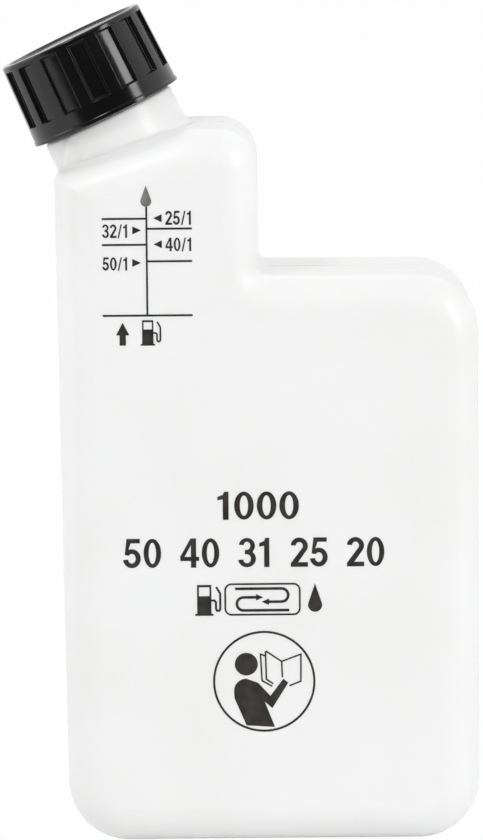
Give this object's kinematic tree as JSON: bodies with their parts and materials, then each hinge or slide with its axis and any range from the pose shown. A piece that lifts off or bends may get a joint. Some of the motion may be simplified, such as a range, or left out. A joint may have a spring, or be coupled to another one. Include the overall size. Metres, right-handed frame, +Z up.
{
  "type": "fuel mixing bottle",
  "caption": "Flat hollow plastic bottle with a low and a tall part, a slanted threaded neck, a ribbed screw cap with a sealing disc, and a printed mixing scale.",
  "frame": {"origin": "on the ground under the middle of the whole bottle's width and depth, cap included", "axes": "+Z up; -Y out of the face that carries the mixing scale; +X from the tall part with the neck towards the low part"},
  "size_m": [0.1318, 0.064, 0.233],
  "materials": {
    "translucent_polyethylene": "natural milky blow-moulded polyethylene, satin",
    "black_polypropylene": "moulded, glossy",
    "foam_disc": "closed-cell foam, matt",
    "printed_ink": "screen-printed dark ink, satin"
  },
  "bodies": {
    "bottle": {"bottle_body": "translucent_polyethylene"},
    "disc": {"sealing_disc": "foam_disc"},
    "cap": {"screw_cap": "black_polypropylene"}
  },
  "joints": [
    {"name": "cap_lift", "type": "slide", "parent": "bottle", "child": "disc", "axis": [-0.4226, 0, 0.9063], "range_m": [0, 0.0221]},
    {"name": "cap_turn", "type": "hinge", "parent": "disc", "child": "cap", "pos_m": [-0.03711, 0, 0.20282], "axis": [-0.4226, 0, 0.9063], "range_deg": [0, 1980]}
  ],
  "couplings": [
    {"joint": "cap_lift", "follows": "cap_turn", "m_per_rad": 0.00063662}
  ]
}
